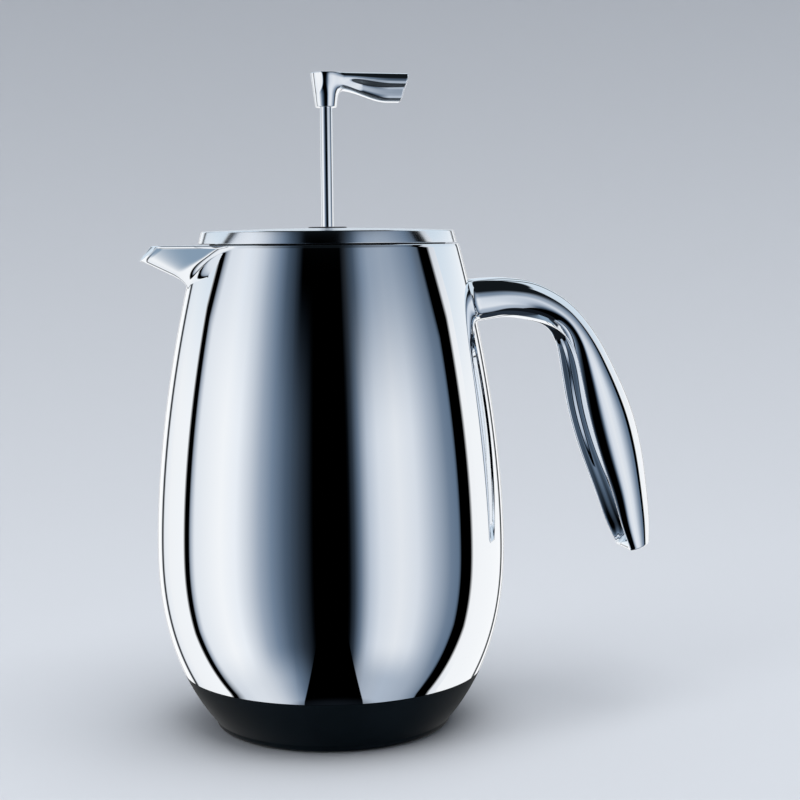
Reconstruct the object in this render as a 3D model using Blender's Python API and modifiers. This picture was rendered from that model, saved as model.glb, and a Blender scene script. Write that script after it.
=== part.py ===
"""French press: double-wall steel jug, turning lid and a spring-edged plunger.

Metres, +Z up. The origin is the middle of the underside. The handle points to +X
and the spout to -X. Each piece is one named object in the collection french_press.
"""
import math

import bmesh
import bpy
from mathutils import Matrix, Vector

# ---- Driving dimensions, in metres -------------------------------------------------
GAP = 0.0003                # clearance between touching pieces
STEPS = 36                  # facets round a large turned piece
SMALL_STEPS = 24            # and round a small one

BELLY_RADIUS = 0.0632       # jug, outside
BELLY_HEIGHT = 0.0653
RIM_RADIUS = 0.0473
RIM_HEIGHT = 0.1752
SHOULDER_POWER = 1.8        # how late the wall turns in towards the rim
BOWL_DEPTH = 0.08385        # height over which the bowl below the belly would close
BOWL_POWER = 2.2
WALL = 0.0008

COVER_TOP = 0.0205          # black base cover
COVER_THICKNESS = 0.0022
COVER_FLOOR = 0.0029
FOOT_ROUNDING = 0.0025
PLATE_RADIUS = 0.0297

VESSEL_RADIUS = 0.0450      # inner vessel, outside
VESSEL_BOTTOM = 0.0105
VESSEL_ROUNDING = 0.0060

SPOUT_TIP = 0.0682          # distance from the axis
SPOUT_CORNER = 0.0625       # where the front lip starts to fall
SPOUT_ROOT = 0.0387
SPOUT_ROOT_WIDTH = 0.0270   # half widths
SPOUT_CORNER_WIDTH = 0.0110
SPOUT_TIP_WIDTH = 0.0012
SPOUT_TIP_HEIGHT = 0.1697
SPOUT_KEEL_TIP = 0.1688
SPOUT_KEEL_ROOT = 0.1570
SPOUT_WALL = 0.0010
SPOUT_START = 0.0375        # where the trough's side wings begin
SPOUT_CLEARANCE = 0.0006

HANDLE_WALL = 0.0012
HANDLE_SIDES = 20
HANDLE_RINGS = 18
HANDLE_TROUGH = 0.0032      # depth of the hollow along the grip
TROUGH_WIDTH = 0.82         # as a share of the handle's width
TROUGH_START = 4.0          # in handle stations
TROUGH_LENGTH = 6.8
BORE_OVERRUN = 0.003        # how far the handle's bore runs past its free end

LID_RADIUS = 0.0465
LID_TOP_RADIUS = 0.0454
LID_BASE = 0.1757
LID_TOP = 0.1801
LID_DOME = 0.0010
LID_PLATE_BOTTOM = 0.1760   # underside of the insert's plate
LID_BOSS_BOTTOM = 0.1720    # underside of the boss round the rod bush
SKIRT_RADIUS = 0.0425
SKIRT_BOTTOM = 0.1580
SKIRT_WALL = 0.0016
GROOVE_TOP = 0.1738         # gasket groove in the skirt
GROOVE_BOTTOM = 0.1705
GROOVE_DEPTH = 0.0010
GASKET_HEIGHT = 0.0024
SLOT_COUNT = 7              # pouring slots
SLOT_PITCH = 8              # degrees
SLOT_SIZE = (0.0080, 0.0022, 0.0100)
SLOT_HEIGHT = 0.1637        # middle of the slots

ROD_RADIUS = 0.00225
ROD_BOTTOM = 0.0603
ROD_TOP = 0.2330
KNOB_BOTTOM = 0.2241
KNOB_TOP = 0.2364
KNOB_REACH = 0.0296
KNOB_SLANT = 0.0022         # how far the lever's end face leans back at its foot
KNOB_SLANT_START = 0.0200
KNOB_STEM_RADIUS = 0.00385  # at the bottom
KNOB_STEM_FLARE = 0.00165   # added at the top
KNOB_EDGE = 0.0004          # bevel of the stem's ends
LEVER_DEPTH = 0.0063        # at the stem
LEVER_DROP = 0.0040         # how much deeper the lever's end is
LEVER_DROP_START = 0.0050
LEVER_DROP_LENGTH = 0.0175
SLEEVE_WALL = 0.0004        # knob insert
BUSH_RADIUS = 0.0058
BUSH_FLANGE = 0.0070
BUSH_FLANGE_HEIGHT = 0.0006
BUSH_BEVEL = 0.0003
BUSH_BOTTOM = 0.1690
RETAINER_WIDTH = 0.0020
RETAINER_HEIGHT = 0.0016

STACK_BOTTOM = 0.0545       # underside of the cross plate with the plunger up
FILTER_RADIUS = 0.0437
FILTER_RIM = 0.0042         # height of the mesh's turned-up edge
MESH_THICKNESS = 0.0005
CROSS_PLATE_RADIUS = 0.0400
SPIRAL_PLATE_RADIUS = 0.0408
PLATE_THICKNESS = 0.0010
COIL_RADIUS = 0.0009
HUB_RADIUS = 0.0070
HUB_HEIGHT = 0.0080
SCREW_HEAD_RADIUS = 0.0060
SCREW_HEAD_HEIGHT = 0.0014

CHROME = (0.80, 0.83, 0.88, 1.0)
STEEL = (0.62, 0.64, 0.67, 1.0)
RUBBER = (0.012, 0.014, 0.020, 1.0)
PLASTIC = (0.020, 0.021, 0.024, 1.0)
SILICONE = (0.30, 0.31, 0.33, 1.0)


# ---- Scene helpers -----------------------------------------------------------------
def clear_scene():
    for old in list(bpy.data.objects):
        bpy.data.objects.remove(old, do_unlink=True)


def new_collection(name):
    collection = bpy.data.collections.new(name)
    bpy.context.scene.collection.children.link(collection)
    return collection


def material(name, colour, metallic, roughness):
    mat = bpy.data.materials.new(name)
    mat.use_nodes = True
    shader = mat.node_tree.nodes["Principled BSDF"]
    shader.inputs["Base Color"].default_value = colour
    shader.inputs["Metallic"].default_value = metallic
    shader.inputs["Roughness"].default_value = roughness
    return mat


def finish_object(name, bm, collection, mat=None):
    """Make an object from a bmesh."""
    mesh = bpy.data.meshes.new(name)
    bm.to_mesh(mesh)
    bm.free()
    obj = bpy.data.objects.new(name, mesh)
    collection.objects.link(obj)
    if mat is not None:
        mesh.materials.append(mat)
    mesh.shade_smooth()
    mesh.set_sharp_from_angle(angle=math.radians(35))
    return obj


def turned(name, profile, collection, mat=None, closed=False, steps=STEPS):
    """Turn (radius, height) points about Z; the outer side runs from top to bottom."""
    bm = bmesh.new()
    verts = [bm.verts.new((radius, 0.0, height)) for radius, height in profile]
    for first, second in zip(verts, verts[1:]):
        bm.edges.new((first, second))
    if closed:
        bm.edges.new((verts[-1], verts[0]))
    obj = finish_object(name, bm, collection, mat)
    screw = obj.modifiers.new("turn", "SCREW")
    screw.steps = steps
    screw.render_steps = steps
    screw.use_merge_vertices = True
    screw.merge_threshold = 0.00001
    screw.use_smooth_shade = True
    return obj


def disc(name, low, thickness, inner, outer, collection, mat, steps=STEPS):
    """Flat ring between two radii."""
    high = low + thickness
    profile = [(inner, high), (outer, high), (outer, low), (inner, low)]
    return turned(name, profile, collection, mat, closed=True, steps=steps)


def loft(name, rings, collection, mat=None):
    """Skin a run of closed rings that have equal numbers of points, with flat ends."""
    bm = bmesh.new()
    loops = [[bm.verts.new(point) for point in ring] for ring in rings]
    count = len(rings[0])
    for lower, upper in zip(loops, loops[1:]):
        for i in range(count):
            j = (i + 1) % count
            bm.faces.new((lower[i], lower[j], upper[j], upper[i]))
    bm.faces.new(list(reversed(loops[0])))
    bm.faces.new(loops[-1])
    bmesh.ops.recalc_face_normals(bm, faces=bm.faces)
    return finish_object(name, bm, collection, mat)


def block(name, size, collection):
    """Box cutter centred on its origin."""
    bm = bmesh.new()
    bmesh.ops.create_cube(bm, size=1.0, matrix=Matrix.Diagonal((*size, 1.0)))
    return hide_cutter(finish_object(name, bm, collection))


def peg(name, radius, low, high, collection, sides, at=(0.0, 0.0)):
    """Upright round or many-sided cutter between two heights."""
    bm = bmesh.new()
    place = Matrix.Translation((at[0], at[1], (low + high) / 2))
    bmesh.ops.create_cone(bm, cap_ends=True, segments=sides, radius1=radius, radius2=radius,
                          depth=high - low, matrix=place)
    return hide_cutter(finish_object(name, bm, collection))


def hide_cutter(obj):
    obj.hide_render = True
    obj.display_type = "WIRE"
    return obj


def cut(obj, cutter):
    boolean = obj.modifiers.new("cut_" + cutter.name, "BOOLEAN")
    boolean.operation = "DIFFERENCE"
    boolean.solver = "EXACT"
    boolean.object = cutter


def arc(centre_r, centre_z, radius, start, end, count):
    """Points along an arc in the (radius, height) plane; angles in degrees."""
    points = []
    for i in range(count + 1):
        angle = math.radians(start + (end - start) * i / count)
        points.append((centre_r + radius * math.cos(angle), centre_z + radius * math.sin(angle)))
    return points


def blend(a, b, t):
    return a + (b - a) * min(max(t, 0.0), 1.0)


# ---- Jug ---------------------------------------------------------------------------
def jug_radius(height):
    """Outside radius of the jug: a soft bowl below the belly, a long shoulder above."""
    if height < BELLY_HEIGHT:
        share = (BELLY_HEIGHT - height) / BOWL_DEPTH
        return BELLY_RADIUS * math.sqrt(1.0 - share ** BOWL_POWER)
    share = (height - BELLY_HEIGHT) / (RIM_HEIGHT - BELLY_HEIGHT)
    return BELLY_RADIUS - (BELLY_RADIUS - RIM_RADIUS) * share ** SHOULDER_POWER


def heights(top, bottom, count):
    return [top + (bottom - top) * i / count for i in range(count + 1)]


def make_outer_shell(parts, mat):
    """Outer wall: rim lip turned in over the vessel, stepped in under the base cover."""
    step_in = COVER_THICKNESS + GAP
    flange = COVER_FLOOR + GAP
    lip = VESSEL_RADIUS + GAP
    wall = [(jug_radius(z), z) for z in heights(RIM_HEIGHT, COVER_TOP + GAP, 11)]
    skirt = [(jug_radius(z) - step_in, z) for z in heights(COVER_TOP + GAP, flange + 0.0012, 4)]
    foot = [(jug_radius(flange) - step_in - 0.0006, flange), (PLATE_RADIUS + GAP, flange)]
    outside = wall + skirt + foot
    inside = [(PLATE_RADIUS + GAP, flange + WALL)]
    inside += [(r - WALL, z + WALL * 0.4) for r, z in reversed(skirt[1:])]
    inside += [(jug_radius(COVER_TOP) - step_in - WALL, COVER_TOP + 0.0012)]
    inside += [(r - WALL, z) for r, z in reversed(wall[1:-1])]
    inside += [(jug_radius(RIM_HEIGHT - 0.0012) - WALL, RIM_HEIGHT - WALL)]
    inside += [(lip, RIM_HEIGHT - WALL), (lip, RIM_HEIGHT)]
    return turned("outer_shell", outside + inside, parts, mat, closed=True)


def make_inner_vessel(parts, mat):
    """Straight cylinder with a rounded, closed bottom."""
    inner = VESSEL_RADIUS - WALL
    bend = VESSEL_ROUNDING
    floor = VESSEL_BOTTOM + WALL
    inside = [(0.0, floor)]
    inside += arc(inner - bend + WALL, floor + bend - WALL, bend - WALL, -90, 0, 3)
    outside = [(VESSEL_RADIUS, RIM_HEIGHT)]
    outside += arc(VESSEL_RADIUS - bend, VESSEL_BOTTOM + bend, bend, 0, -90, 3)
    profile = inside + [(inner, RIM_HEIGHT)] + outside + [(0.0, VESSEL_BOTTOM)]
    return turned("inner_vessel", profile, parts, mat)


def make_bottom_plate(parts, mat):
    low = COVER_FLOOR + GAP
    profile = [(0.0, low + WALL), (PLATE_RADIUS, low + WALL), (PLATE_RADIUS, low), (0.0, low)]
    return turned("bottom_plate", profile, parts, mat)


def make_base_cover(parts, mat):
    """Rubber bowl with a flat underside."""
    inside = [(0.0, COVER_FLOOR)]
    rise = heights(COVER_FLOOR, COVER_TOP, 5)
    inside += [(jug_radius(z) - COVER_THICKNESS, z) for z in rise]
    outside = [(jug_radius(z), z) for z in heights(COVER_TOP, FOOT_ROUNDING, 5)]
    foot = jug_radius(FOOT_ROUNDING) - FOOT_ROUNDING
    outside += arc(foot, FOOT_ROUNDING, FOOT_ROUNDING, 0, -90, 3)[1:]
    return turned("base_cover", inside + outside + [(0.0, 0.0)], parts, mat)


# ---- Spout -------------------------------------------------------------------------
def spout_station(reach):
    """Half width, top height, keel height and section power at a distance from the axis."""
    along = (reach - SPOUT_ROOT) / (SPOUT_CORNER - SPOUT_ROOT)
    nose = (reach - SPOUT_CORNER) / (SPOUT_TIP - SPOUT_CORNER)
    width = SPOUT_ROOT_WIDTH + (SPOUT_CORNER_WIDTH - SPOUT_ROOT_WIDTH) * min(along, 1.0)
    if nose > 0.0:
        width = blend(SPOUT_CORNER_WIDTH, SPOUT_TIP_WIDTH, nose)
    top = blend(RIM_HEIGHT - GAP, SPOUT_TIP_HEIGHT, nose)
    fall = min(max((SPOUT_TIP - reach) / (SPOUT_TIP - SPOUT_ROOT), 0.0), 1.0)
    keel = SPOUT_KEEL_TIP - (SPOUT_KEEL_TIP - SPOUT_KEEL_ROOT) * fall ** 1.15
    power = blend(3.6, 1.35, along * 1.15)
    return width, top, keel, power


def spout_section(reach, offset, count=6):
    """Outline from one top edge under the keel to the other, moved in by an offset."""
    width, top, keel, power = spout_station(reach)
    width = max(width - offset, 0.0002)
    points = []
    for i in range(-count, count + 1):
        share = i / count
        height = keel + offset + (top - keel - offset) * abs(share) ** power
        points.append(Vector((-reach, width * share, height)))
    return points


def spout_reaches(start, end, count):
    reaches = heights(start, SPOUT_CORNER, count)
    return reaches + heights(SPOUT_CORNER, end, 3)[1:]


def make_spout(parts, cutters, mat):
    """Folded trough from the vessel's wall to the tip."""
    rings = []
    for reach in spout_reaches(SPOUT_START, SPOUT_TIP, 6):
        outer = spout_section(reach, 0.0)
        inner = spout_section(reach, SPOUT_WALL)
        top = outer[0].z
        for point in inner:
            point.z = min(point.z, top - 0.00005)
        inner[0].z = top
        inner[-1].z = top
        rings.append(outer + list(reversed(inner)))
    spout = loft("spout", rings, parts, mat)
    keep_out = peg("vessel_room", VESSEL_RADIUS + GAP, 0.14, 0.19, cutters, STEPS)
    cut(spout, keep_out)
    return spout


def make_spout_void(name, cutters, start, grow):
    """Solid wedge that clears the spout's outside by a distance, open above the rim."""
    rings = []
    for reach in spout_reaches(start, SPOUT_TIP, 6):
        ring = spout_section(reach, -grow)
        ring[0].z = RIM_HEIGHT + 0.001
        ring[-1].z = RIM_HEIGHT + 0.001
        above = RIM_HEIGHT + 0.01
        ring += [Vector((-reach, ring[-1].y, above)), Vector((-reach, ring[0].y, above))]
        rings.append(ring)
    return hide_cutter(loft(name, rings, cutters))


# ---- Handle ------------------------------------------------------------------------
def handle_stations():
    """Outer and inner edge of the handle in the XZ plane, with half width, in millimetres."""
    return [
        ((44.0, 161.0), (44.0, 145.3), 7.8),
        ((56.0, 162.3), (56.5, 146.3), 7.9),
        ((67.0, 162.4), (66.5, 147.7), 8.3),
        ((79.0, 160.3), (76.8, 146.3), 9.0),
        ((92.0, 153.0), (84.8, 143.0), 10.0),
        ((102.2, 141.3), (89.4, 136.2), 11.3),
        ((110.0, 127.5), (91.8, 125.0), 12.6),
        ((116.8, 112.5), (94.7, 110.5), 13.4),
        ((121.0, 97.0), (99.0, 96.0), 13.2),
        ((123.3, 81.0), (104.8, 80.5), 12.0),
        ((124.6, 69.0), (109.2, 67.8), 10.0),
        ((124.6, 60.6), (113.6, 58.0), 8.2),
    ]


def spline(values, t):
    """Catmull-Rom curve through equally spaced values."""
    last = len(values) - 1
    i = min(int(t), last - 1)
    u = t - i
    before = values[max(i - 1, 0)]
    after = values[min(i + 2, last)]
    a, b = values[i], values[i + 1]
    pull_a = (b - before) / 2
    pull_b = (after - a) / 2
    u2, u3 = u * u, u * u * u
    return ((2 * u3 - 3 * u2 + 1) * a + (u3 - 2 * u2 + u) * pull_a
            + (3 * u2 - 2 * u3) * b + (u3 - u2) * pull_b)


def handle_edge(stations, side, t):
    """Point on the outer (0) or inner (1) edge line, in millimetres."""
    x = spline([station[side][0] for station in stations], t)
    z = spline([station[side][1] for station in stations], t)
    return Vector((x, 0.0, z))


def handle_ring(t, shrink):
    """Section of the handle: round outside, flatter inside with a hollow trough."""
    stations = handle_stations()
    outer = handle_edge(stations, 0, t)
    inner = handle_edge(stations, 1, t)
    half_width = spline([station[2] for station in stations], t) - shrink
    middle = (outer + inner) / 2
    reach = (outer - inner) / 2
    depth = reach.length - shrink
    direction = reach.normalized()
    along = blend(0.0, 1.0, (t - TROUGH_START) / TROUGH_LENGTH)
    trough = 1000 * HANDLE_TROUGH * math.sin(math.pi * along) ** 0.5
    ring = []
    for i in range(HANDLE_SIDES):
        angle = 2 * math.pi * i / HANDLE_SIDES
        across = math.cos(angle)
        side = math.sin(angle)
        if across < 0.0:
            across = -abs(across) ** 0.6
            hollow = max(1.0 - (side / TROUGH_WIDTH) ** 2, 0.0) ** 2
            across += trough * hollow / depth
        point = middle + direction * (depth * across)
        point.y = half_width * side
        ring.append(point / 1000)
    return ring


def make_handle(parts, cutters, shell_mat, bracket_mat):
    """Hollow tapering shell, with a bracket in its root and a flat cap in its free end."""
    last = len(handle_stations()) - 1
    places = heights(0.0, last, HANDLE_RINGS)
    room_bottom = 0.12
    room = [(0.0, RIM_HEIGHT)]
    room += [(jug_radius(z) + GAP, z) for z in heights(RIM_HEIGHT, room_bottom, 12)]
    room += [(0.0, room_bottom)]
    body_room = hide_cutter(turned("jug_room", room, cutters))
    shell = loft("handle_shell", [handle_ring(t, 0.0) for t in places], parts, shell_mat)
    bore_rings = [handle_ring(t, 1000 * HANDLE_WALL) for t in places]
    push = (bore_rings[-1][0] - bore_rings[-2][0]).normalized() * BORE_OVERRUN
    bore_rings.append([point + push for point in bore_rings[-1]])
    bore = hide_cutter(loft("handle_bore", bore_rings, cutters))
    cut(shell, bore)
    cut(shell, body_room)

    inset = 1000 * (HANDLE_WALL + GAP)
    bracket_rings = [handle_ring(t, inset) for t in (0.3, 0.8, 1.3, 1.8)]
    bracket = loft("handle_bracket", bracket_rings, parts, bracket_mat)
    cut(bracket, body_room)
    cap_rings = [handle_ring(last - t, inset) for t in (0.22, 0.02)]
    loft("handle_end_cap", cap_rings, parts, shell_mat)


# ---- Lid ---------------------------------------------------------------------------
def make_lid_cover(parts, mat):
    """Slim pressed cap with a slanted edge band and a slightly domed top."""
    hole = BUSH_RADIUS + GAP
    dome = [(hole, LID_TOP + LID_DOME), (0.025, LID_TOP + LID_DOME * 0.65),
            (LID_TOP_RADIUS - 0.0006, LID_TOP)]
    band = [(LID_TOP_RADIUS, LID_TOP - 0.0004), (LID_RADIUS, LID_BASE + 0.0002),
            (LID_RADIUS - 0.0002, LID_BASE)]
    under = [(LID_RADIUS - 0.0016, LID_BASE), (LID_TOP_RADIUS - 0.0014, LID_TOP - WALL - 0.0002)]
    under += [(0.025, LID_TOP + LID_DOME * 0.65 - WALL), (hole, LID_TOP + LID_DOME - WALL)]
    return turned("lid_cover", dome + band + under, parts, mat, closed=True)


def make_lid_insert(parts, cutters, mat):
    """Plate under the cover with a skirt; the skirt is slotted on the spout's side."""
    top = LID_TOP - WALL - GAP - 0.0002
    flange = LID_RADIUS - 0.0030
    groove = SKIRT_RADIUS - GROOVE_DEPTH
    hole = BUSH_RADIUS + GAP
    inside = SKIRT_RADIUS - SKIRT_WALL
    profile = [(hole, top), (flange, top), (flange, LID_BASE + 0.0004)]
    profile += [(SKIRT_RADIUS, LID_BASE + 0.0004), (SKIRT_RADIUS, GROOVE_TOP)]
    profile += [(groove, GROOVE_TOP), (groove, GROOVE_BOTTOM), (SKIRT_RADIUS, GROOVE_BOTTOM)]
    profile += [(SKIRT_RADIUS, SKIRT_BOTTOM), (inside, SKIRT_BOTTOM)]
    profile += [(inside - 0.0010, LID_PLATE_BOTTOM), (hole + 0.0040, LID_PLATE_BOTTOM)]
    profile += [(hole + 0.0020, LID_BOSS_BOTTOM), (hole, LID_BOSS_BOTTOM)]
    insert = turned("lid_insert", profile, parts, mat, closed=True)
    for i in range(SLOT_COUNT):
        angle = math.radians(180 + (i - (SLOT_COUNT - 1) / 2) * SLOT_PITCH)
        slot = block(f"slot_{i + 1}", SLOT_SIZE, cutters)
        radius = SKIRT_RADIUS - SKIRT_WALL / 2
        slot.location = (radius * math.cos(angle), radius * math.sin(angle), SLOT_HEIGHT)
        slot.rotation_euler = (0.0, 0.0, angle)
        cut(insert, slot)


def make_lid_gasket(parts, mat):
    """Silicone ring in the skirt's groove, with a lip that wipes the vessel."""
    inner = SKIRT_RADIUS - GROOVE_DEPTH + GAP
    shoulder = SKIRT_RADIUS + GAP
    outer = VESSEL_RADIUS - WALL - GAP
    middle = (GROOVE_TOP + GROOVE_BOTTOM) / 2
    top = middle + GASKET_HEIGHT / 2
    bottom = middle - GASKET_HEIGHT / 2
    profile = [(inner, top), (shoulder, top), (outer, middle + 0.0004)]
    profile += [(outer, middle - 0.0004), (shoulder, bottom), (inner, bottom)]
    turned("lid_gasket", profile, parts, mat, closed=True)


def make_rod_bush(parts, bush_mat, retainer_mat):
    """Flanged guide through the lid, and the ring that holds it from below."""
    bore = ROD_RADIUS + GAP
    top = LID_TOP + LID_DOME + GAP
    crown = top + BUSH_FLANGE_HEIGHT
    profile = [(bore, crown), (BUSH_FLANGE - BUSH_BEVEL, crown)]
    profile += [(BUSH_FLANGE, crown - BUSH_BEVEL), (BUSH_FLANGE, top), (BUSH_RADIUS, top)]
    profile += [(BUSH_RADIUS, BUSH_BOTTOM), (bore, BUSH_BOTTOM)]
    turned("rod_bush", profile, parts, bush_mat, closed=True, steps=SMALL_STEPS)
    inner = BUSH_RADIUS + GAP
    ring_low = LID_BOSS_BOTTOM - GAP - RETAINER_HEIGHT
    disc("bush_retainer", ring_low, RETAINER_HEIGHT, inner, inner + RETAINER_WIDTH, parts,
         retainer_mat, steps=SMALL_STEPS)


# ---- Plunger -----------------------------------------------------------------------
def make_plunger_rod(parts, mat):
    profile = [(0.0, ROD_TOP), (ROD_RADIUS - 0.0004, ROD_TOP), (ROD_RADIUS, ROD_TOP - 0.0004)]
    profile += [(ROD_RADIUS, ROD_BOTTOM), (0.0, ROD_BOTTOM)]
    turned("plunger_rod", profile, parts, mat, steps=SMALL_STEPS)


def lever_ring(reach, sides=16):
    """Section of the lever across its length: flat top, rounded underside."""
    share = reach / KNOB_REACH
    fall = blend(0.0, 1.0, (reach - LEVER_DROP_START) / LEVER_DROP_LENGTH)
    low = KNOB_TOP - LEVER_DEPTH - LEVER_DROP * fall * fall * (3.0 - 2.0 * fall)
    half_width = blend(0.0051, 0.0057, share) - 0.0008 * math.sin(math.pi * share)
    middle = (KNOB_TOP + low) / 2
    depth = (KNOB_TOP - low) / 2
    ring = []
    for i in range(sides):
        angle = 2 * math.pi * (i + 0.5) / sides
        side = math.cos(angle)
        rise = math.sin(angle)
        side = math.copysign(abs(side) ** 0.8, side)
        rise = math.copysign(abs(rise) ** (0.55 if rise > 0 else 0.9), rise)
        slant = -KNOB_SLANT * max(reach - KNOB_SLANT_START, 0.0) / (KNOB_REACH - KNOB_SLANT_START)
        x = reach + slant * (1 - rise) / 2
        ring.append(Vector((x, half_width * side, middle + depth * rise)))
    return ring


def make_knob(parts, cutters, mat, insert_mat):
    """Flared stem joined to a one-sided lever, with a sleeve for the rod in its base."""
    wide = KNOB_STEM_RADIUS + KNOB_STEM_FLARE
    stem = [(0.0, KNOB_TOP), (wide - KNOB_EDGE, KNOB_TOP), (wide, KNOB_TOP - KNOB_EDGE)]
    stem += [(KNOB_STEM_RADIUS, KNOB_BOTTOM + KNOB_EDGE)]
    stem += [(KNOB_STEM_RADIUS - KNOB_EDGE, KNOB_BOTTOM), (0.0, KNOB_BOTTOM)]
    knob = turned("knob", stem, parts, mat, steps=SMALL_STEPS)
    lever = loft("lever", [lever_ring(r) for r in heights(0.0010, KNOB_REACH, 9)], cutters)
    hide_cutter(lever)
    join = knob.modifiers.new("join_lever", "BOOLEAN")
    join.operation = "UNION"
    join.solver = "EXACT"
    join.object = lever
    inner = ROD_RADIUS + GAP
    outer = inner + SLEEVE_WALL
    socket = peg("knob_socket", outer + GAP, KNOB_BOTTOM - 0.001, ROD_TOP + GAP, cutters, SMALL_STEPS)
    cut(knob, socket)
    low = KNOB_BOTTOM + GAP
    disc("knob_insert", low, ROD_TOP - low, inner, outer, parts, insert_mat, steps=SMALL_STEPS)


def ring_of_holes(plate, prefix, circle, radius, count, cutters, sides=12):
    for i in range(count):
        angle = 2 * math.pi * i / count
        at = (circle * math.cos(angle), circle * math.sin(angle))
        low = STACK_BOTTOM - 0.001
        high = STACK_BOTTOM + 0.006
        cut(plate, peg(f"{prefix}_{i + 1}", radius, low, high, cutters, sides, at))


def make_plates(parts, cutters, steel, spiral_low):
    """Cross plate below the mesh and spiral plate above it, both with rings of holes."""
    bore = ROD_RADIUS + GAP
    cross = disc("cross_plate", STACK_BOTTOM, PLATE_THICKNESS, bore, CROSS_PLATE_RADIUS, parts, steel)
    ring_of_holes(cross, "cross_hole", 0.0235, 0.0090, 6, cutters)
    spiral = disc("spiral_plate", spiral_low, PLATE_THICKNESS, bore, SPIRAL_PLATE_RADIUS, parts, steel)
    ring_of_holes(spiral, "spiral_hole", 0.0310, 0.0045, 12, cutters, sides=8)
    ring_of_holes(spiral, "spiral_inner_hole", 0.0170, 0.0040, 6, cutters, sides=8)


def make_filter_mesh(parts, mat, low):
    """Flat mesh with a turned-up edge."""
    bore = ROD_RADIUS + GAP
    inside = FILTER_RADIUS - MESH_THICKNESS
    floor = low + MESH_THICKNESS
    top = low + FILTER_RIM
    profile = [(bore, floor), (inside, floor), (inside, top)]
    profile += [(FILTER_RADIUS, top), (FILTER_RADIUS, low), (bore, low)]
    turned("filter_mesh", profile, parts, mat, closed=True)


def make_coil_ring(parts, mat, low):
    """Closed ring of the edge coil's outer shape."""
    circle = FILTER_RADIUS - MESH_THICKNESS - GAP - COIL_RADIUS
    profile = arc(circle, low + COIL_RADIUS, COIL_RADIUS, 90, -270, 8)[:-1]
    turned("spring_coil", profile, parts, mat, closed=True)


def make_hub(parts, steel, low):
    """Threaded hub on the rod's end, and the screw that clamps the stack from below."""
    bore = ROD_RADIUS + GAP
    top = low + HUB_HEIGHT
    profile = [(bore, top), (0.0050, top), (0.0062, top - 0.0014), (HUB_RADIUS, low), (bore, low)]
    turned("hub_nut", profile, parts, steel, closed=True, steps=SMALL_STEPS)
    head_top = STACK_BOTTOM - GAP
    head_low = head_top - SCREW_HEAD_HEIGHT
    shank_top = ROD_BOTTOM - GAP
    profile = [(0.0, shank_top), (ROD_RADIUS, shank_top), (ROD_RADIUS, head_top)]
    profile += [(SCREW_HEAD_RADIUS, head_top), (SCREW_HEAD_RADIUS, head_top - 0.0006)]
    profile += [(SCREW_HEAD_RADIUS - 0.0012, head_low), (0.0, head_low)]
    turned("hub_screw", profile, parts, steel, steps=SMALL_STEPS)


def make_filter_stack(parts, cutters, steel, mesh_mat):
    """Cross plate, turned-up mesh, spiral plate and edge coil, clamped by hub and screw."""
    mesh_low = STACK_BOTTOM + PLATE_THICKNESS + GAP
    spiral_low = mesh_low + MESH_THICKNESS + GAP
    make_plates(parts, cutters, steel, spiral_low)
    make_filter_mesh(parts, mesh_mat, mesh_low)
    make_coil_ring(parts, steel, spiral_low)
    make_hub(parts, steel, spiral_low + PLATE_THICKNESS + GAP)


# ---- Build -------------------------------------------------------------------------
def main():
    clear_scene()
    parts = new_collection("french_press")
    cutters = new_collection("cutters")
    chrome = material("polished_steel", CHROME, 1.0, 0.05)
    steel = material("brushed_steel", STEEL, 1.0, 0.30)
    rubber = material("base_rubber", RUBBER, 0.0, 0.45)
    plastic = material("lid_plastic", PLASTIC, 0.0, 0.40)
    silicone = material("silicone", SILICONE, 0.0, 0.55)
    mesh_mat = material("filter_mesh", STEEL, 1.0, 0.40)

    shell = make_outer_shell(parts, chrome)
    vessel = make_inner_vessel(parts, steel)
    make_bottom_plate(parts, steel)
    make_base_cover(parts, rubber)
    make_spout(parts, cutters, chrome)
    cut(shell, make_spout_void("spout_gap", cutters, SPOUT_START - GAP, SPOUT_CLEARANCE))
    cut(vessel, make_spout_void("pour_notch", cutters, SPOUT_START - GAP, -SPOUT_WALL))
    make_handle(parts, cutters, chrome, steel)
    make_lid_cover(parts, chrome)
    make_lid_insert(parts, cutters, plastic)
    make_lid_gasket(parts, silicone)
    make_rod_bush(parts, plastic, steel)
    make_plunger_rod(parts, chrome)
    make_knob(parts, cutters, chrome, steel)
    make_filter_stack(parts, cutters, steel, mesh_mat)


main()
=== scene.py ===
"""Studio scene of the french press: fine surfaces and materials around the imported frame.

Lengths in the shape functions are millimetres; MM turns them into metres when a mesh is
made. The handle points to +X, the spout to -X, and the press stands on z = 0.
"""
import math

import bmesh
import bpy
import numpy as np
from mathutils import Matrix, Vector


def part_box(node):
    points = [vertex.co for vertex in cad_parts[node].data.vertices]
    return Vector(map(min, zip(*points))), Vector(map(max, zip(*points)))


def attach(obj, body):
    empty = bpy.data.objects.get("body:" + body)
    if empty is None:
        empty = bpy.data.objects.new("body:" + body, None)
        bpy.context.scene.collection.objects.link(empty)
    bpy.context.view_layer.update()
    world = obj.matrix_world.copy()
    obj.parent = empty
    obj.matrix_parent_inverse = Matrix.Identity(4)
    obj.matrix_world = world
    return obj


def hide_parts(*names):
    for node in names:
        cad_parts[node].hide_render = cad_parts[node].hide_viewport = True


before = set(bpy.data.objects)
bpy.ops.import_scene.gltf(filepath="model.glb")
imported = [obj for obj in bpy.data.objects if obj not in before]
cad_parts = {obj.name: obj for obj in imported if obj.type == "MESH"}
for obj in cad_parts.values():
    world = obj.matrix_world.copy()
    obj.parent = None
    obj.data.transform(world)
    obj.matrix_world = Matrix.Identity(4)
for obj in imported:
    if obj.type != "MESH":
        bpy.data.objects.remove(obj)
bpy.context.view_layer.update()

MM = 0.001

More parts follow.
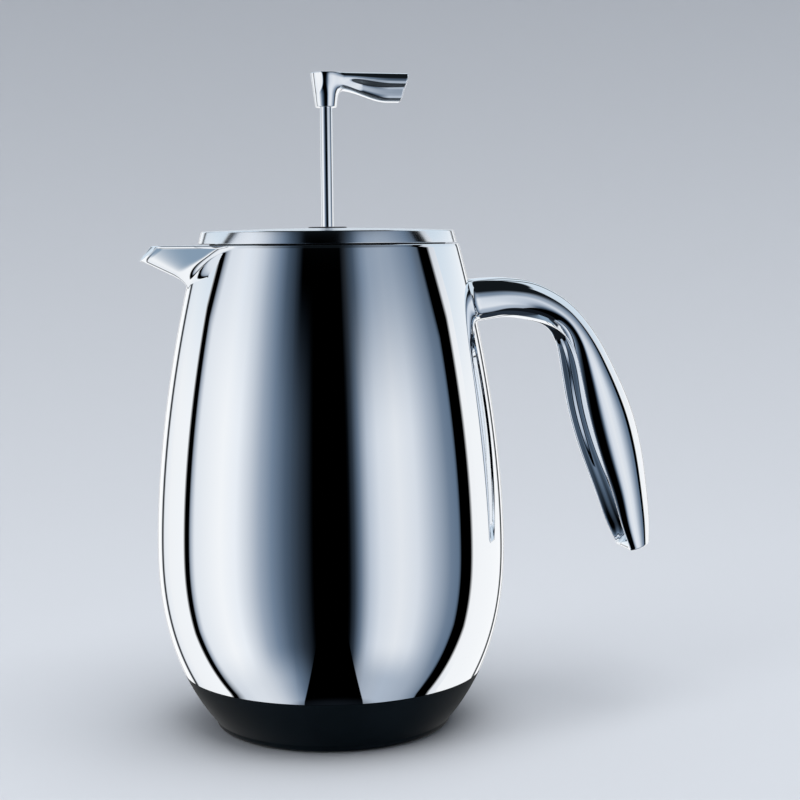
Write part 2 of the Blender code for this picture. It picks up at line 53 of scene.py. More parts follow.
# ---- Shape, in millimetres ---------------------------------------------------------
RIM = 1000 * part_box("inner_vessel")[1].z  # height of the jug's rim
BELLY_RADIUS = 500 * (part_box("outer_shell")[1].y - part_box("outer_shell")[0].y)
BELLY_HEIGHT = 65.3
RIM_RADIUS = 47.3
SHOULDER_POWER = 1.8
BOWL_DEPTH = 83.85
BOWL_POWER = 2.2
COVER_TOP = 20.5
SHELL_FOOT = COVER_TOP + 0.08  # the steel ends just over the cover's lip
FOOT_ROUNDING = 2.5
RIM_EDGE = 0.35  # radius of the rim's outer edge

VESSEL_RADIUS = 45.0
WALL = 0.8
VESSEL_FLOOR = 11.3
GAP = 0.3  # between touching pieces

SPOUT_ROOT = Vector((40.4, 24.9, RIM))  # ends of the straight top edge
SPOUT_CORNER = Vector((62.5, 11.0, RIM))
SPOUT_TIP = Vector((68.2, 0.0, RIM - 5.6))
KEEL_ROUNDING = 0.035  # sine of the angle that the keel's round takes
KEEL_FILLET = 6.0
FLARE_FILLET = 1.8  # where the sides run into the jug
SPOUT_LINING = 1.2  # height of the trough's floor over the outside
SPOUT_FOOT = 148.0  # below this height the wall is plainly turned

LID_BASE = 1000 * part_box("lid_cover")[0].z
LID_TOP = 180.1
LID_DOME = 1.0
LID_RADIUS = 46.5
LID_TOP_RADIUS = 45.4
SKIRT_RADIUS = 42.5
SKIRT_BOTTOM = 1000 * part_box("lid_insert")[0].z
PLATE_UNDERSIDE = 176.0
GROOVE_TOP, GROOVE_BOTTOM = 173.8, 170.5  # seat of the gasket
GROOVE_RADIUS = 41.5
SLOT_HEIGHT = 163.7  # middle of the pouring slots

ROD_RADIUS = 2.25
ROD_TOP = 1000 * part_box("plunger_rod")[1].z
ROD_BOTTOM = 1000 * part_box("plunger_rod")[0].z
KNOB_TOP = 1000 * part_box("knob")[1].z
KNOB_BOTTOM = 1000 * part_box("knob")[0].z
KNOB_REACH = 1000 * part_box("knob")[1].x
BUSH_RADIUS = 5.8
BUSH_BOTTOM = 169.0

FILTER_RADIUS = 43.7
MESH_WALL = 0.5
COIL_RADIUS = 0.9
COIL_WIRE = 0.28
COIL_TURNS = 118

HANDLE_STATIONS = [  # outer (x, z), inner (x, z), half width
    ((44.0, 161.0), (44.0, 145.3), 7.8),
    ((56.0, 162.3), (56.5, 146.3), 7.9),
    ((67.0, 162.4), (66.5, 147.7), 8.3),
    ((79.0, 160.3), (76.8, 146.3), 9.0),
    ((92.0, 153.0), (84.8, 143.0), 10.0),
    ((102.2, 141.3), (89.4, 136.2), 11.3),
    ((110.0, 127.5), (91.8, 125.0), 12.6),
    ((116.8, 112.5), (94.7, 110.5), 13.4),
    ((121.0, 97.0), (99.0, 96.0), 13.2),
    ((123.3, 81.0), (104.8, 80.5), 12.0),
    ((124.6, 69.0), (109.2, 67.8), 10.0),
    ((124.6, 60.6), (113.6, 58.0), 8.2),
]
TROUGH_DEPTH = 7.2
TROUGH_REACH = (2.6, 3.6, 11.15, 1.0)  # in stations: start, run-in, end, run-out
LIP_REACH = (2.3, 3.2)  # where the lips open: start, run-in
LIP_TURN = 58.0  # degrees by which the trough opens the section
BACK_SHARE = 0.33  # what the round back gains where the lips open
TROUGH_WIDTH = 0.93  # share of the width between the lips
TROUGH_FLAT = 0.56  # share of the trough's floor that is flat


def jug_radius(z):
    """Outside radius of the jug at a height, for a number or an array."""
    z = np.asarray(z, float)
    low = np.clip((BELLY_HEIGHT - z) / BOWL_DEPTH, 0.0, 1.0)
    high = np.clip((z - BELLY_HEIGHT) / (RIM - BELLY_HEIGHT), 0.0, 1.2)
    bowl = BELLY_RADIUS * np.sqrt(1.0 - low ** BOWL_POWER)
    shoulder = BELLY_RADIUS - (BELLY_RADIUS - RIM_RADIUS) * high ** SHOULDER_POWER
    return np.where(z < BELLY_HEIGHT, bowl, shoulder)


def smooth_max(a, b, width):
    """The larger of two values, with a round fillet where they meet."""
    share = np.clip(0.5 + 0.5 * (b - a) / width, 0.0, 1.0)
    return a + (b - a) * share + width * share * (1.0 - share)


def smooth_step(x):
    x = np.clip(x, 0.0, 1.0)
    return x * x * (3.0 - 2.0 * x)


# ---- Mesh helpers ------------------------------------------------------------------
def mesh_object(name, verts, faces, sharp=None):
    """Smooth mesh in the scene; edges sharper than the given angle, in degrees, stay sharp."""
    mesh = bpy.data.meshes.new(name)
    mesh.from_pydata([tuple(v) for v in np.asarray(verts) * MM], [], faces)
    mesh.update()
    mesh.shade_smooth()
    if sharp is not None:
        mesh.set_sharp_from_angle(angle=math.radians(sharp))
    return new_object(name, mesh)


def new_object(name, data):
    obj = bpy.data.objects.new(name, data)
    bpy.context.scene.collection.objects.link(obj)
    return obj


def built_object(name, bm):
    """Object from a mesh that is under construction."""
    mesh = bpy.data.meshes.new(name)
    bm.to_mesh(mesh)
    bm.free()
    return new_object(name, mesh)


def skin(name, rows, sharp=None):
    """Mesh over an array of closed rows, shape (rows, columns, 3); rows run down the outside."""
    rows = np.asarray(rows, float)
    count, columns = rows.shape[:2]
    verts = rows.reshape(-1, 3)
    base = np.arange(count - 1)[:, None] * columns
    here = base + np.arange(columns)[None, :]
    beside = base + (np.arange(columns)[None, :] + 1) % columns
    quads = np.stack([here, here + columns, beside + columns, beside], axis=-1).reshape(-1, 4)
    return mesh_object(name, verts, quads.tolist(), sharp)


def turned(name, profile, columns, sharp=32, closed=False):
    """Turn (radius, height) points about Z; the outer side runs from top to bottom."""
    points = list(profile) + ([profile[0]] if closed else [])
    angle = np.linspace(0.0, 2 * np.pi, columns, endpoint=False)
    rows = [np.stack([max(r, 0.0) * np.cos(angle), max(r, 0.0) * np.sin(angle),
                      np.full(columns, z)], axis=-1) for r, z in points]
    obj = skin(name, rows)
    weld(obj, sharp)
    return obj


def weld(obj, sharp):
    """Join the points that lie on one another, such as those on the axis."""
    bm = bmesh.new()
    bm.from_mesh(obj.data)
    bmesh.ops.remove_doubles(bm, verts=bm.verts, dist=0.000001)
    bm.to_mesh(obj.data)
    bm.free()
    obj.data.shade_smooth()
    obj.data.set_sharp_from_angle(angle=math.radians(sharp))


def arc(centre_r, centre_z, radius, start, end, count=8):
    """Points along an arc in the (radius, height) plane; angles in degrees."""
    angles = np.radians(np.linspace(start, end, count + 1))
    return [(centre_r + radius * math.cos(a), centre_z + radius * math.sin(a)) for a in angles]


def rounded(points, radii, count):
    """Open outline whose inner corners are rounded; one radius for each inner point."""
    out = [points[0]]
    for i, radius in enumerate(radii, start=1):
        here = Vector(points[i])
        back = Vector(points[i - 1]) - here
        ahead = Vector(points[i + 1]) - here
        reach = min(radius, back.length * 0.48, ahead.length * 0.48)
        start = here + back.normalized() * reach
        stop = here + ahead.normalized() * reach
        for k in range(count + 1):
            t = k / count
            out.append(tuple(start * (1 - t) ** 2 + here * 2 * t * (1 - t) + stop * t ** 2))
    out.append(points[-1])
    return out


def place(obj, body, mat, slot, *nodes):
    """Give a piece its material, its body and the CAD nodes it stands for; the record slot is not
    used.
    """
    obj.data.materials.clear()
    obj.data.materials.append(mat)
    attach(obj, body)
    if nodes:
        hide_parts(*nodes)
    return obj


def cut_holes(obj, pegs):
    """Cut a list of (x, y, radius, low, high) round holes through a plate, in millimetres."""
    bm = bmesh.new()
    for x, y, radius, low, high in pegs:
        where = Matrix.Translation(Vector((x, y, (low + high) / 2)) * MM)
        bmesh.ops.create_cone(bm, cap_ends=True, segments=40, radius1=radius * MM,
                              radius2=radius * MM, depth=(high - low) * MM, matrix=where)
    cut_with(obj, bm)


def cut_with(obj, bm):
    """Subtract a mesh from a piece."""
    cutter = built_object("cutter", bm)
    boolean = obj.modifiers.new("cut", "BOOLEAN")
    boolean.operation = "DIFFERENCE"
    boolean.solver = "EXACT"
    boolean.object = cutter
    bake(obj)
    bpy.data.objects.remove(cutter)
    obj.data.shade_smooth()
    obj.data.set_sharp_from_angle(angle=math.radians(32))


def bake(obj):
    """Replace an object's mesh with what its modifiers make of it."""
    bpy.context.view_layer.update()
    graph = bpy.context.evaluated_depsgraph_get()
    mesh = bpy.data.meshes.new_from_object(obj.evaluated_get(graph))
    obj.modifiers.clear()
    obj.data = mesh


# ---- Materials ---------------------------------------------------------------------
def shader_material(name, colour, metallic, roughness):
    """New material with its node tree and its surface shader."""
    mat = bpy.data.materials.new(name)
    mat.use_nodes = True
    shader = mat.node_tree.nodes["Principled BSDF"]
    shader.inputs["Base Color"].default_value = (*colour, 1.0)
    shader.inputs["Metallic"].default_value = metallic
    shader.inputs["Roughness"].default_value = roughness
    return mat, mat.node_tree, shader


def coordinates(tree, scale=(1.0, 1.0, 1.0)):
    """Object coordinates, stretched."""
    source = tree.nodes.new("ShaderNodeTexCoord")
    mapping = tree.nodes.new("ShaderNodeMapping")
    mapping.inputs["Scale"].default_value = scale
    tree.links.new(source.outputs["Object"], mapping.inputs["Vector"])
    return mapping.outputs["Vector"]


def position(tree):
    """The three object coordinates."""
    split = tree.nodes.new("ShaderNodeSeparateXYZ")
    tree.links.new(coordinates(tree), split.inputs["Vector"])
    return split.outputs


def join(tree, sockets, values):
    """Give each socket its value, or link it to the output that is given instead."""
    for socket, value in zip(sockets, values):
        if isinstance(value, (int, float, tuple)):
            socket.default_value = value
        else:
            tree.links.new(value, socket)


def maths(tree, operation, *values):
    node = tree.nodes.new("ShaderNodeMath")
    node.operation = operation
    join(tree, node.inputs, values)
    return node.outputs[0]


def noise(tree, vector, scale, detail):
    node = tree.nodes.new("ShaderNodeTexNoise")
    node.inputs["Scale"].default_value = scale
    node.inputs["Detail"].default_value = detail
    node.inputs["Roughness"].default_value = 0.55
    tree.links.new(vector, node.inputs["Vector"])
    return node.outputs["Fac"]


def remap(tree, value, low, high, from_low=0.3, from_high=0.7):
    """Spread a value over a range; the range it comes from is that of the noise by default."""
    node = tree.nodes.new("ShaderNodeMapRange")
    node.inputs["From Min"].default_value = from_low
    node.inputs["From Max"].default_value = from_high
    node.inputs["To Min"].default_value = low
    node.inputs["To Max"].default_value = high
    tree.links.new(value, node.inputs["Value"])
    return node.outputs["Result"]


def bump(tree, shader, height, strength, distance):
    """Raise the surface by a texture; the distance is in metres."""
    node = tree.nodes.new("ShaderNodeBump")
    node.inputs["Strength"].default_value = strength
    node.inputs["Distance"].default_value = distance
    tree.links.new(height, node.inputs["Height"])
    tree.links.new(node.outputs["Normal"], shader.inputs["Normal"])


def colour_between(tree, shader, value, dark, light):
    """Let the base colour run between two colours."""
    node = tree.nodes.new("ShaderNodeMix")
    node.data_type = "RGBA"
    node.inputs["A"].default_value = (*dark, 1.0)
    node.inputs["B"].default_value = (*light, 1.0)
    tree.links.new(value, node.inputs["Factor"])
    tree.links.new(node.outputs["Result"], shader.inputs["Base Color"])


def make_chrome():
    """Mirror-polished steel: faint polishing haze in the gloss and a cool tint."""
    mat, tree, shader = shader_material("polished_steel", (0.90, 0.93, 0.97), 1.0, 0.01)
    haze = noise(tree, coordinates(tree), 45.0, 6.0)
    tree.links.new(remap(tree, haze, 0.004, 0.022), shader.inputs["Roughness"])
    cool_tint(tree, shader)
    return mat


def cool_tint(tree, shader):
    """Slow, faint changes in the steel's colour."""
    tint = remap(tree, noise(tree, coordinates(tree, (1.0, 1.0, 0.4)), 12.0, 2.0), 0.0, 1.0)
    colour_between(tree, shader, tint, (0.88, 0.915, 0.955), (0.92, 0.945, 0.975))


def make_lid_steel():
    """Pressed steel: a polished edge band and a finely spun top."""
    mat, tree, shader = shader_material("pressed_steel", (0.90, 0.93, 0.97), 1.0, 0.12)
    radius = tree.nodes.new("ShaderNodeVectorMath")
    radius.operation = "LENGTH"
    tree.links.new(coordinates(tree, (1.0, 1.0, 0.0)), radius.inputs[0])
    radius = radius.outputs["Value"]
    band_inside, band_outside = 0.0440, 0.0450  # metres: here the top turns into the band
    top = remap(tree, radius, 1.0, 0.0, band_inside, band_outside)
    haze = noise(tree, coordinates(tree), 45.0, 6.0)
    rings = noise(tree, radius, 2600.0, 3.0)
    gloss = tree.nodes.new("ShaderNodeMix")
    join(tree, (gloss.inputs["Factor"], gloss.inputs["A"], gloss.inputs["B"]),
         (top, remap(tree, haze, 0.09, 0.14), remap(tree, rings, 0.27, 0.38)))
    tree.links.new(gloss.outputs["Result"], shader.inputs["Roughness"])
    cool_tint(tree, shader)
    bump(tree, shader, maths(tree, "MULTIPLY", rings, top), 0.10, 0.00002)
    return mat


def make_brushed():
    """Fine brushed steel, its lines running round the piece; the scratches scatter some light."""
    colour = (0.62, 0.64, 0.67)
    mat, tree, shader = shader_material("brushed_steel", colour, 0.75, 0.3)
    lines = noise(tree, coordinates(tree, (1.0, 1.0, 60.0)), 90.0, 5.0)
    tree.links.new(remap(tree, lines, 0.20, 0.36), shader.inputs["Roughness"])
    darker = tuple(0.92 * c for c in colour)
    colour_between(tree, shader, remap(tree, lines, 0.0, 1.0), darker, colour)
    bump(tree, shader, lines, 0.12, 0.00003)
    return mat


def make_rubber():
    """Matte moulded rubber: near black with a blue cast, a fine grain and soft rubbed patches."""
    mat, tree, shader = shader_material("base_rubber", (0.008, 0.010, 0.016), 0.0, 0.42)
    shader.inputs["Specular IOR Level"].default_value = 0.035
    shader.inputs["Specular Tint"].default_value = (0.70, 0.88, 1.0, 1.0)
    place_in = coordinates(tree)
    patches = noise(tree, place_in, 28.0, 3.0)
    tree.links.new(remap(tree, patches, 0.44, 0.56), shader.inputs["Roughness"])
    patches = remap(tree, patches, 0.0, 1.0)
    colour_between(tree, shader, patches, (0.004, 0.0066, 0.0088), (0.007, 0.011, 0.0145))
    bump(tree, shader, noise(tree, place_in, 2600.0, 2.0), 0.18, 0.00004)
    return mat


def make_plastic(name, colour, rough, grain):
    """Moulded plastic or silicone: soft patches in the gloss over a fine grain."""
    mat, tree, shader = shader_material(name, colour, 0.0, rough)
    place_in = coordinates(tree)
    patches = noise(tree, place_in, 60.0, 3.0)
    tree.links.new(remap(tree, patches, rough - 0.05, rough + 0.06), shader.inputs["Roughness"])
    lighter = tuple(c * 1.25 for c in colour)
    colour_between(tree, shader, remap(tree, patches, 0.0, 1.0), colour, lighter)
    bump(tree, shader, noise(tree, place_in, grain, 2.0), 0.15, 0.00003)
    return mat


def make_weave():
    """Woven wire cloth: crossed wave bands, alternately raised; painted shade darkens the dips
    between the wires.
    """
    mat, tree, shader = shader_material("filter_mesh", (0.60, 0.62, 0.65), 1.0, 0.34)
    wire_spacing = 0.0007  # metres
    waves = [maths(tree, "SINE", maths(tree, "MULTIPLY", along, 2 * math.pi / wire_spacing))
             for along in position(tree)[:2]]
    height = remap(tree, maths(tree, "MULTIPLY", *waves), 0.0, 1.0, -1.0, 1.0)
    # painted shade: the weave's dips are coloured dark and its raised wires light
    colour_between(tree, shader, height, (0.16, 0.17, 0.18), (0.68, 0.70, 0.73))
    bump(tree, shader, height, 0.8, 0.0002)
    return mat


# ---- Jug ---------------------------------------------------------------------------
def spout_plane():
    """One side of the folded spout as a plane a*x + b*|y| - c*(RIM - z) = n, x towards the tip."""
    edge = SPOUT_CORNER - SPOUT_ROOT
    front = SPOUT_TIP - SPOUT_CORNER
    normal = edge.cross(front)
    if normal.z > 0:
        normal.negate()
    level = normal.x * SPOUT_CORNER.x + normal.y * SPOUT_CORNER.y
    return normal.x, normal.y, -normal.z, level


PLANE_A, PLANE_B, PLANE_C, PLANE_N = spout_plane()


def spout_spread(angle):
    """How fast the spout's side closes in, for the angle away from the spout's middle."""
    turn = np.abs(angle)
    widest = math.atan2(PLANE_B, PLANE_A)
    within = np.minimum(turn, widest)
    side = np.sqrt(np.sin(within) ** 2 + KEEL_ROUNDING ** 2) - 0.45 * KEEL_ROUNDING
    spread = PLANE_A * np.cos(within) + PLANE_B * side
    return spread * (1.0 + 1.2 * np.maximum(turn - widest, 0.0))


def spout_radius(angle, z):
    return (PLANE_N - PLANE_C * (RIM - z)) / spout_spread(angle)


def spout_fillet(angle):
    """Width of the round between spout and jug: wide under the keel, tight at the sides."""
    return FLARE_FILLET + (KEEL_FILLET - FLARE_FILLET) * (1.0 - smooth_step(np.abs(angle) / 0.38))


def spout_top(angle):
    """Height of the jug's top edge; it falls along the spout's front lip."""
    slope = (SPOUT_CORNER.z - SPOUT_TIP.z) / (SPOUT_TIP.x - SPOUT_CORNER.x)
    ahead = np.maximum(np.cos(angle), 0.0)
    fall = PLANE_C * slope
    lip = (PLANE_N + fall * SPOUT_CORNER.x) / (spout_spread(angle) + fall * ahead)
    on_lip = lip * ahead > SPOUT_CORNER.x
    return np.where(on_lip, RIM - slope * (lip * ahead - SPOUT_CORNER.x), RIM)


def spout_angles():
    """Directions round the jug, measured from the spout's middle, closer together at the spout."""
    near = math.radians(66)
    fine = np.linspace(-near, near, 264, endpoint=False)
    coarse = np.linspace(near, 2 * math.pi - near, 150, endpoint=False)
    return np.concatenate([fine, np.where(coarse > math.pi, coarse - 2 * math.pi, coarse)])


def ring(angles, radius, z):
    """Points round the axis; the angle is measured from -X."""
    turn = angles + math.pi
    height = np.broadcast_to(z, turn.shape)
    return np.stack([radius * np.cos(turn), radius * np.sin(turn), height], axis=-1)


def jug_skin():
    """Outer wall, spout, rim and the trough's lining as one seamless polished surface."""
    angles = spout_angles()
    top = spout_top(angles)
    top_radius = smooth_max(jug_radius(top), spout_radius(angles, top), spout_fillet(angles))
    lining = VESSEL_RADIUS + GAP
    flat_end = (PLANE_N - PLANE_C * (RIM - top + SPOUT_LINING)) / spout_spread(angles)
    flat_end = np.clip(flat_end, lining + 0.2, top_radius - 0.9)
    inner_foot = top - 4.0 - (RIM - lining_height(angles, lining, top))
    rows = [ring(angles, lining, inner_foot)]
    for share in np.linspace(0.0, 1.0, 26):
        radius = lining + (flat_end - lining) * share
        rows.append(ring(angles, radius, lining_height(angles, radius, top)))
    rows.append(ring(angles, flat_end + 0.15, top))
    for angle in np.radians(np.linspace(90.0, 0.0, 6)):
        radius = top_radius - RIM_EDGE + RIM_EDGE * math.cos(angle)
        rows.append(ring(angles, radius, top - RIM_EDGE + RIM_EDGE * math.sin(angle)))
    for share in np.linspace(0.0, 1.0, 70)[1:]:
        z = top - RIM_EDGE + (SPOUT_FOOT - top + RIM_EDGE) * share
        radius = smooth_max(jug_radius(z), spout_radius(angles, z), spout_fillet(angles))
        rows.append(ring(angles, radius, z))
    for z in np.linspace(SPOUT_FOOT, SHELL_FOOT, 90)[1:]:
        rows.append(ring(angles, float(jug_radius(z)), z))
    foot = float(jug_radius(SHELL_FOOT))
    rows += [ring(angles, foot - inset, SHELL_FOOT) for inset in (0.04, 2.6)]
    return skin("jug_skin", rows, sharp=40)


def lining_height(angles, radius, top):
    """Height of the trough's floor, or of the flat rim where there is no trough."""
    floor = RIM - (PLANE_N - radius * spout_spread(angles)) / PLANE_C + SPOUT_LINING
    return np.minimum(floor, top)


def vessel_skin():
    """Inner vessel, notched where the spout begins."""
    angles = spout_angles()
    notch = lining_height(angles, VESSEL_RADIUS, RIM)
    inner = VESSEL_RADIUS - WALL
    bottom = VESSEL_FLOOR - WALL
    inside_bend, outside_bend = 5.2, 6.0
    low = 150.0  # below this height the wall is a plain tube
    profile = [(0.01, VESSEL_FLOOR), (inner - inside_bend, VESSEL_FLOOR)]
    profile += arc(inner - inside_bend, VESSEL_FLOOR + inside_bend, inside_bend, -90, 0)
    rows = [ring(angles, r, z) for r, z in profile]
    for share in np.linspace(0.0, 1.0, 12):
        rows.append(ring(angles, inner, low + (notch - 0.25 - low) * share))
    rows.append(ring(angles, inner + 0.12, notch - 0.05))
    rows.append(ring(angles, VESSEL_RADIUS - 0.12, notch - 0.05))
    rows.append(ring(angles, VESSEL_RADIUS, notch - 0.25))
    profile = [(VESSEL_RADIUS, low)]
    profile += arc(VESSEL_RADIUS - outside_bend, bottom + outside_bend, outside_bend, 0, -90)
    rows += [ring(angles, r, z) for r, z in profile + [(0.01, bottom)]]
    return skin("vessel_skin", rows, sharp=50)


def base_skin():
    """Rubber bowl: fine lip under the steel, long outside curve, rounded foot, flat underside."""
    lip, lip_round = float(jug_radius(COVER_TOP)), 0.15
    wall, floor = 2.2, 2.9
    profile = [(0.0, floor)]
    profile += [(float(jug_radius(z)) - wall, z) for z in np.linspace(floor, COVER_TOP, 8)]
    profile += arc(lip - lip_round, COVER_TOP - lip_round, lip_round, 90, 20, 4)
    profile += [(float(jug_radius(z)), z) for z in np.linspace(COVER_TOP - 0.2, FOOT_ROUNDING, 40)]
    foot = float(jug_radius(FOOT_ROUNDING)) - FOOT_ROUNDING
    profile += arc(foot, FOOT_ROUNDING, FOOT_ROUNDING, 0, -90, 14)[1:] + [(0.0, 0.0)]
    return turned("base_skin", profile, columns=200, sharp=60)


# ---- Handle ------------------------------------------------------------------------
def spline(values, t):
    """Catmull-Rom curve through equally spaced values."""
    last = len(values) - 1
    i = min(int(t), last - 1)
    u = t - i
    before, after = values[max(i - 1, 0)], values[min(i + 2, last)]
    a, b = values[i], values[i + 1]
    pull_a, pull_b = (b - before) / 2, (after - a) / 2
    return ((2 * u ** 3 - 3 * u ** 2 + 1) * a + (u ** 3 - 2 * u ** 2 + u) * pull_a
            + (3 * u ** 2 - 2 * u ** 3) * b + (u ** 3 - u ** 2) * pull_b)


def smoothed(values):
    """Evenly resampled station values, relaxed a little so that reflections run clean."""
    last = len(values) - 1
    fine = np.array([spline(values, last * i / 200) for i in range(201)])
    kernel = np.array([1, 4, 6, 4, 1]) / 16
    for _ in range(12):
        padded = np.concatenate([2 * fine[:1] - fine[2:0:-1], fine, 2 * fine[-1:] - fine[-2:-4:-1]])
        fine = np.convolve(padded, kernel, mode="valid")
    return fine


def handle_skin():
    """Round back, hollow trough along the grip's inner face, flat end, small weld at the root."""
    edges = [smoothed(values) for values in zip(*[(*outer, *inner, width)
                                                  for outer, inner, width in HANDLE_STATIONS])]
    last = len(HANDLE_STATIONS) - 1
    count = len(edges[0])
    start, run_in, stop, run_out = TROUGH_REACH
    lip_start, lip_run = LIP_REACH
    rows = []
    for i, (outer_x, outer_z, inner_x, inner_z, half_width) in enumerate(zip(*edges)):
        t = last * i / (count - 1)
        opened = float(smooth_step((t - lip_start) / lip_run))
        hollow = smooth_step((t - start) / run_in) * smooth_step((stop - t) / run_out)
        outer = np.array([outer_x, 0.0, outer_z])
        inner = np.array([inner_x + 1.2 * opened, 0.0, inner_z])
        middle, reach = (outer + inner) / 2, (outer - inner) / 2
        depth = np.linalg.norm(reach)
        along, across = handle_section(half_width, depth, opened, TROUGH_DEPTH * float(hollow))
        row = middle + along[:, None] * (reach / depth)
        row[:, 1] = across
        rows.append(row)
    rows = np.array(rows)
    weld_fillet(rows)
    end = rows[-1]
    centre = end.mean(axis=0)
    ahead = centre - rows[-3].mean(axis=0)
    ahead /= np.linalg.norm(ahead)
    steps = [(0.22, 0.02), (0.36, 0.06), (0.42, 0.12), (0.42, 0.20), (0.30, 0.215), (0.42, 0.23),
             (0.42, 0.6), (0.42, 0.98)]  # the cap: outwards in mm, share of the way in
    cap = [end + ahead * push + (centre - end) * pull for push, pull in steps]
    rows = np.concatenate([rows, np.array(cap)])
    return skin("handle_skin", rows, sharp=50)


def handle_section(half_width, depth, opened, trough):
    """Closed section: depth along the handle's plane and offset across it, in millimetres."""
    back = depth * (1.0 + BACK_SHARE * opened)
    front = 2.0 * depth - back
    turn = np.radians(np.linspace(-90.0, 90.0, 49))
    reach = math.radians(90.0 - LIP_TURN * opened)
    angle = reach * np.linspace(0.0, 0.88, 17)[1:]
    side = np.stack([-front * np.sin(angle) / math.sin(reach), half_width * np.cos(angle)], axis=-1)
    lip = np.array([-front, half_width * math.cos(reach)])
    bed_across = TROUGH_WIDTH * lip[1] * np.linspace(1.0, -1.0, 41)
    wall = np.clip(np.abs(bed_across) / max(lip[1], 0.001) - TROUGH_FLAT, 0.0, 1.0)
    wall /= 1.0 - TROUGH_FLAT
    wave = 0.016 * np.sin(5.2 * np.pi * wall)
    bed_along = trough * (1.0 - wall ** 1.12 - wave) - front
    bed = np.stack([bed_along, bed_across], axis=-1)
    t = np.linspace(0.0, 1.0, 8)[1:-1, None]
    edge = side[-1] * (1.0 - t) ** 2 + lip * 2.0 * t * (1.0 - t) + bed[0] * t ** 2
    near = np.concatenate([side, edge])
    far = near[::-1] * (1.0, -1.0)
    back_arc = np.stack([back * np.cos(turn), half_width * np.sin(turn)], axis=-1)
    outline = np.concatenate([back_arc, near, bed, far[:-1]])
    return outline[:, 0] + depth - back, outline[:, 1]


def weld_fillet(rows):
    """Flare the handle's root where it meets the jug."""
    reach, flare = 3.2, 1.5
    inside = -3.0  # deeper in the jug the root stays as it is
    distance = np.hypot(rows[..., 0], rows[..., 1]) - jug_radius(rows[..., 2])
    centre = rows.mean(axis=1, keepdims=True)
    away = rows - centre
    away /= np.linalg.norm(away, axis=-1, keepdims=True)
    near = np.clip(1.0 - distance / reach, 0.0, 1.0)
    near = np.where(distance > inside, near, 0.0)
    rows += away * (flare * near[..., None] ** 2.5)


# ---- Lid ---------------------------------------------------------------------------
def lid_cover_skin():
    """Flat pressed top with a slanted band; a fine lip shades the seam over the rim."""
    hole_radius = BUSH_RADIUS + GAP
    corners = [(hole_radius, LID_TOP + LID_DOME - WALL), (hole_radius, LID_TOP + LID_DOME)]
    corners += [(r, LID_TOP + LID_DOME * (1.0 - (r / 45.0) ** 2.2))
                for r in np.linspace(10.0, 42.0, 12)]
    corners += [(LID_TOP_RADIUS, LID_TOP - 0.05), (LID_RADIUS, LID_BASE + 0.15)]
    corners += [(LID_RADIUS - 0.1, LID_BASE), (LID_RADIUS - 1.6, LID_BASE)]
    corners += [(LID_TOP_RADIUS - 1.4, LID_TOP - 1.0)]
    corners += [(25.0, LID_TOP + 0.65 * LID_DOME - WALL)]
    radii = [0.25] + [0.0] * 12 + [0.45, 0.10, 0.05, 0.05, 0.3]
    profile = rounded(corners, radii, 6)
    return turned("lid_cover_skin", profile, columns=240, sharp=60, closed=True)


def lid_insert_skin():
    """Moulded plate and skirt, with a rib ring and pouring slots on the spout's side."""
    top, edge = LID_TOP - 1.3, 43.5
    collar = BUSH_RADIUS + GAP
    collar_bottom, rib_bottom = 172.0, 174.4
    wall = SKIRT_RADIUS - 1.6
    corners = [(collar, top), (edge, top), (edge, LID_BASE + 0.4), (SKIRT_RADIUS, LID_BASE + 0.4)]
    corners += [(SKIRT_RADIUS, GROOVE_TOP), (GROOVE_RADIUS, GROOVE_TOP)]
    corners += [(GROOVE_RADIUS, GROOVE_BOTTOM), (SKIRT_RADIUS, GROOVE_BOTTOM)]
    corners += [(SKIRT_RADIUS, SKIRT_BOTTOM), (wall, SKIRT_BOTTOM), (wall - 1.0, PLATE_UNDERSIDE)]
    corners += [(24.0, PLATE_UNDERSIDE), (24.0, rib_bottom), (23.0, rib_bottom)]
    corners += [(23.0, PLATE_UNDERSIDE), (collar + 4.0, PLATE_UNDERSIDE)]
    corners += [(collar + 2.0, collar_bottom), (collar, collar_bottom)]
    profile = rounded(corners, [0.25] * (len(corners) - 2), 3)
    insert = turned("lid_insert_skin", profile, columns=180, closed=True)
    slots, spacing = 7, 8  # spacing in degrees
    size = Matrix.Diagonal((8.0 * MM, 2.2 * MM, 10.0 * MM, 1.0))
    middle = Matrix.Translation(Vector((41.5, 0.0, SLOT_HEIGHT)) * MM)
    bm = bmesh.new()
    for i in range(slots):
        angle = math.radians(180 + (i - (slots - 1) / 2) * spacing)
        where = Matrix.Rotation(angle, 4, "Z") @ middle
        bmesh.ops.create_cube(bm, size=1.0, matrix=where @ size)
    cut_with(insert, bm)
    return insert


def gasket_skin():
    """Silicone ring in the skirt's groove, its lip just clear of the vessel."""
    inner, outer = SKIRT_RADIUS - 0.7, VESSEL_RADIUS - WALL - GAP
    middle = (GROOVE_TOP + GROOVE_BOTTOM) / 2
    corners = [(inner, middle + 1.2), (SKIRT_RADIUS + 0.3, middle + 1.2), (outer, middle + 0.4)]
    corners += [(outer, middle - 0.4), (SKIRT_RADIUS + 0.3, middle - 1.2), (inner, middle - 1.2)]
    return turned("gasket_skin", rounded(corners, [0.3] * 4, 4), columns=180, closed=True)


def bush_skin():
    """Guide of the rod, with a flange over the lid's hole."""
    bore, top, body = ROD_RADIUS + 0.25, LID_TOP + LID_DOME + 0.05, BUSH_RADIUS
    corners = [(bore, BUSH_BOTTOM), (bore, top + 0.4), (body + 1.0, top + 0.4), (body + 1.2, top)]
    corners += [(body, top), (body, BUSH_BOTTOM)]
    return turned("bush_skin", rounded(corners, [0.2] * 4, 4), columns=72, closed=True)


